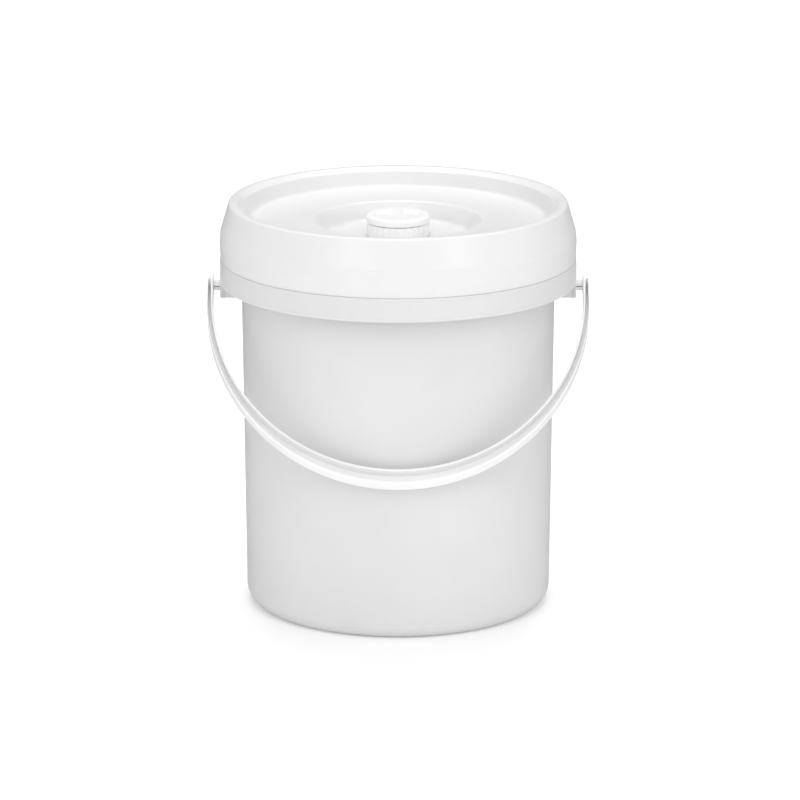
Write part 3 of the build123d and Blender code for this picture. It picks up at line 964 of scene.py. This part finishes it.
@dataclass
class Vent:
    """The vent in the lid's centre: rubber grommet, ribbed lower half and loose cap."""

    floor_z: float
    floor_thick: float
    hole_r: float
    bore_r: float = 4.8
    flange_r: float = 10.5
    flange_thick: float = 2.4
    spigot_bore_r: float = 3.2
    spigot_bottom_z: float = 214.0
    skirt_r: float = 18.2
    rib_height: float = 0.4
    rib_count: int = 28
    wall: float = 1.8
    top_z: float = 232.2
    upstand_r: float = 12.0
    upstand_wall: float = 1.5
    upstand_top_z: float = 234.3
    slot_half: float = 1.0
    slot_fade: float = 0.3
    cap_r: float = 19.0
    cap_bottom_z: float = 232.7
    cap_top_z: float = 237.0
    cap_plate: float = 2.0
    cap_edge: float = 1.9
    ring_wall: float = 1.2
    pocket_r: float = 13.6
    pocket_depth: float = 1.0
    pocket_fade: float = 0.6
    grip_half: float = 3.2
    running_gap: float = 0.3
    grommet_segments: int = 96
    segments: int = 336

    def grommet(self) -> Surface:
        """The rubber grommet: an H section that grips the hole's edge, turned about Z."""
        under = self.floor_z - self.floor_thick
        corners: Corners = [
            (self.bore_r, under - self.flange_thick, 0.4),
            (self.flange_r, under - self.flange_thick, 0.9),
            (self.flange_r, under, 0.1),
            (self.hole_r, under, 0),
            (self.hole_r, self.floor_z, 0),
            (self.flange_r, self.floor_z, 0.1),
            (self.flange_r, self.floor_z + self.flange_thick, 0.9),
            (self.bore_r, self.floor_z + self.flange_thick, 0.4),
        ]
        return turned(outline(corners, closed=True), self.grommet_segments, closed=True)

    def lower_half(self) -> Surface:
        """The lower half: spigot, plate, ribbed skirt and upstand as one outline turned about Z.

        On the skirt's outside the radius grows by rib height * max(0, cos(ribs * angle)) ** 2, and fades
        out over the last millimetre above and below. The upstand's top drops to the plate inside four gas
        slots, where |x| or |y| is under half the slot's width.
        """
        plate_z = self.top_z - self.wall
        upstand_inner = self.upstand_r - self.upstand_wall
        corners: Corners = [
            (self.spigot_bore_r, self.spigot_bottom_z, 0.3),
            (self.bore_r, self.spigot_bottom_z, 0.8),
            (self.bore_r, plate_z, 0.6),
            (self.skirt_r - self.wall, plate_z, 0.6),
            (self.skirt_r - self.wall, self.floor_z, 0.3),
            (self.skirt_r, self.floor_z, 0.3),
            (self.skirt_r, self.top_z, 0.5),
            (self.upstand_r, self.top_z, 0.2),
            (self.upstand_r, self.upstand_top_z, 0.3),
            (upstand_inner, self.upstand_top_z, 0.3),
            (upstand_inner, self.top_z, 0.2),
            (self.spigot_bore_r, self.top_z, 0.3),
        ]
        surface = turned(outline(corners, closed=True, run=1.2), self.segments, closed=True)
        x, y, z = surface.points.T
        r, angle = np.hypot(x, y), np.arctan2(y, x)
        fade = smooth_step(z - self.floor_z) * smooth_step(self.top_z - z)
        skirt_face_r = self.skirt_r - 0.05
        wave = np.maximum(0.0, np.cos(self.rib_count * angle)) ** 2
        growth = 1 + np.where(r > skirt_face_r, self.rib_height * fade * wave, 0.0) / r
        near_slot = np.minimum(np.abs(x), np.abs(y)) - self.slot_half
        kept = smooth_step(near_slot / self.slot_fade)
        lowered = np.where(z > self.top_z, self.top_z + (z - self.top_z) * kept, z)
        return Surface(np.stack([x * growth, y * growth, lowered], axis=-1), surface.faces)

    def cap(self) -> Surface:
        """The cap: a rounded disc with a skirt and an inner ring, turned about Z, with its top pressed in.

        The top drops by pocket depth inside two D shapes. A point's distance into a D is the smaller of
        pocket radius - r and |x| - half the grip bar, and the drop fades in over the pocket fade.
        """
        under = self.cap_top_z - self.cap_plate
        ring_r = self.upstand_r + self.running_gap
        corners: Corners = [
            (0, under, 0),
            (ring_r, under, 0.2),
            (ring_r, self.cap_bottom_z, 0.2),
            (ring_r + self.ring_wall, self.cap_bottom_z, 0.2),
            (ring_r + self.ring_wall, under, 0.2),
            (self.cap_r - self.wall, under, 0.2),
            (self.cap_r - self.wall, self.cap_bottom_z, 0.3),
            (self.cap_r, self.cap_bottom_z, 0.4),
            (self.cap_r, self.cap_top_z, self.cap_edge),
            (0, self.cap_top_z, 0),
        ]
        surface = turned(outline(corners, closed=False, run=0.25), self.segments, closed=False)
        x, y, z = surface.points.T
        into = np.minimum(self.pocket_r - np.hypot(x, y), np.abs(x) - self.grip_half)
        drop = self.pocket_depth * smooth_step(into / self.pocket_fade)
        flat_top_z = self.cap_top_z - 0.01
        height = np.where(z > flat_top_z, z - drop, z)
        return Surface(np.stack([x, y, height], axis=-1), surface.faces)

    def build(self) -> None:
        """Makes the grommet, the vent's lower half and the cap."""
        card = PieceCard("hole_grommet", "lid", "airlock_grommet", "grommet_rubber", Finish.GROMMET)
        make_piece(card, [self.grommet()])
        card = PieceCard("vent_lower_half", "lid", "vent_body", "vent_white", Finish.VENT_WHITE)
        make_piece(card, [self.lower_half()])
        card = PieceCard("vent_top_cap", "vent_cap", "vent_cap", "vent_white", Finish.VENT_WHITE)
        make_piece(card, [self.cap()])


# ---- Studio ----


@dataclass(frozen=True)
class Softbox:
    """One rectangular studio light that points at the object.

    Attributes:
        name: the light's name.
        azimuth: degrees round from the front, towards +X.
        elevation: degrees above the horizon.
        distance: metres from the object.
        width: metres.
        height: metres.
        power: watts.
    """

    name: str
    azimuth: float
    elevation: float
    distance: float
    width: float
    height: float
    power: float

    def build(self, target: Vector) -> None:
        """Makes the light, aimed at the target."""
        a, e = math.radians(self.azimuth), math.radians(self.elevation)
        away = Vector((math.sin(a) * math.cos(e), -math.cos(a) * math.cos(e), math.sin(e)))
        data = bpy.data.lights.new(self.name, "AREA")
        data.shape = "RECTANGLE"
        data.size, data.size_y, data.energy = self.width, self.height, self.power
        light = new_object(self.name, data)
        light.location = target + away * self.distance
        light.rotation_mode = "QUATERNION"
        light.rotation_quaternion = (-away).to_track_quat("-Z", "Y")


@dataclass
class Studio:
    """A pale floor, a pale surround, softboxes and the camera."""

    floor_size: float = 30.0
    floor_glow: float = 0.12
    surround: float = 0.785
    surround_behind: float = 0.06
    camera_distance: float = 3.0
    camera_elevation: float = 15.0
    camera_side_step: float = 1.1
    lens: float = 225.0
    sensor: float = 36.0
    lights: tuple[Softbox, ...] = (
        Softbox("key", 4.0, 44.0, 2.5, 1.6, 1.0, 9.5),
        Softbox("overhead", 180.0, 72.0, 2.5, 1.4, 1.4, 31.0),
        Softbox("behind", 180.0, 30.0, 2.6, 2.0, 0.8, 2.0),
        Softbox("front_left", -30.0, 17.0, 2.2, 0.3, 0.4, 3.8),
        Softbox("front_right", 38.0, 17.0, 2.2, 0.25, 0.4, 3.6),
        Softbox("side_right", 80.0, 12.0, 2.4, 0.8, 1.0, 1.0),
    )

    def build_floor(self) -> None:
        """Makes the floor: white paper with a faint glow of its own."""
        half = self.floor_size / 2
        corners = [(-half, -half, 0), (half, -half, 0), (half, half, 0), (-half, half, 0)]
        mesh = bpy.data.meshes.new("studio_floor")
        mesh.from_pydata(corners, [], [(0, 1, 2, 3)])
        floor = new_object("studio_floor", mesh)
        sheet = NodeSheet("floor_paper")
        sheet.shader.inputs["Base Color"].default_value = (0.95, 0.95, 0.95, 1.0)
        sheet.shader.inputs["Roughness"].default_value = 0.9
        sheet.shader.inputs["Specular IOR Level"].default_value = 0.2
        sheet.shader.inputs["Emission Color"].default_value = (1.0, 1.0, 1.0, 1.0)
        sheet.shader.inputs["Emission Strength"].default_value = self.floor_glow
        mesh.materials.append(sheet.material)
        floor.visible_glossy = False
        floor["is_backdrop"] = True

    def build_surround(self) -> None:
        """Makes the world an even pale light that fades, with the direction's Y, towards the back."""
        world = bpy.data.worlds.new("studio_surround")
        world.use_nodes = True
        tree = world.node_tree
        direction = tree.nodes.new("ShaderNodeTexCoord")
        parts = tree.nodes.new("ShaderNodeSeparateXYZ")
        fade = tree.nodes.new("ShaderNodeMapRange")
        fade.inputs["To Min"].default_value = self.surround
        fade.inputs["To Max"].default_value = self.surround_behind
        background = tree.nodes["Background"]
        background.inputs["Color"].default_value = (1.0, 1.0, 1.0, 1.0)
        tree.links.new(direction.outputs["Generated"], parts.inputs["Vector"])
        tree.links.new(parts.outputs["Y"], fade.inputs["Value"])
        tree.links.new(fade.outputs["Result"], background.inputs["Strength"])
        bpy.context.scene.world = world

    def build_camera(self, target: Vector) -> None:
        """Makes the camera in front of the object and above it, aimed down at the height of its middle.

        Args:
            target: the middle of the object.
        """
        data = bpy.data.cameras.new("camera")
        data.lens, data.sensor_width = self.lens, self.sensor
        data.clip_end = 100.0
        camera = new_object("camera", data)
        e = math.radians(self.camera_elevation)
        back = Vector((0.0, -math.cos(e), math.sin(e)))
        side_step = Vector((self.camera_side_step * MM, 0, 0))
        camera.location = target + back * self.camera_distance + side_step
        camera.rotation_euler = (math.pi / 2 - e, 0.0, 0.0)
        bpy.context.scene.camera = camera

    def build(self, low: Vector, high: Vector) -> None:
        """Makes the whole studio round the object's box."""
        target = Vector((0.0, 0.0, (low.z + high.z) / 2))
        self.build_floor()
        self.build_surround()
        for light in self.lights:
            light.build(target)
        self.build_camera(target)
        bpy.context.scene.view_settings.view_transform = "Standard"


def main() -> None:
    """Loads the frame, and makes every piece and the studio."""
    logging.basicConfig(level=logging.INFO, format="%(name)s: %(message)s")
    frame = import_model()
    pivot = next(joint for joint in frame["joints"] if joint["name"] == "handle_swing")
    pivot_z = pivot["pos_m"][2] / MM
    bucket, lid = Bucket(pivot_z), Lid()
    handle = Handle(pivot_z, lug_inner_x=bucket.lug_face_x - bucket.lug_plate)
    vent = Vent(floor_z=lid.dish_floor_z, floor_thick=lid.wall, hole_r=lid.hole_r)
    for assembly in (bucket, handle, lid, vent):
        assembly.build()
    low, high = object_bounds()
    Studio().build(low, high)


if __name__ == "__main__":
    main()
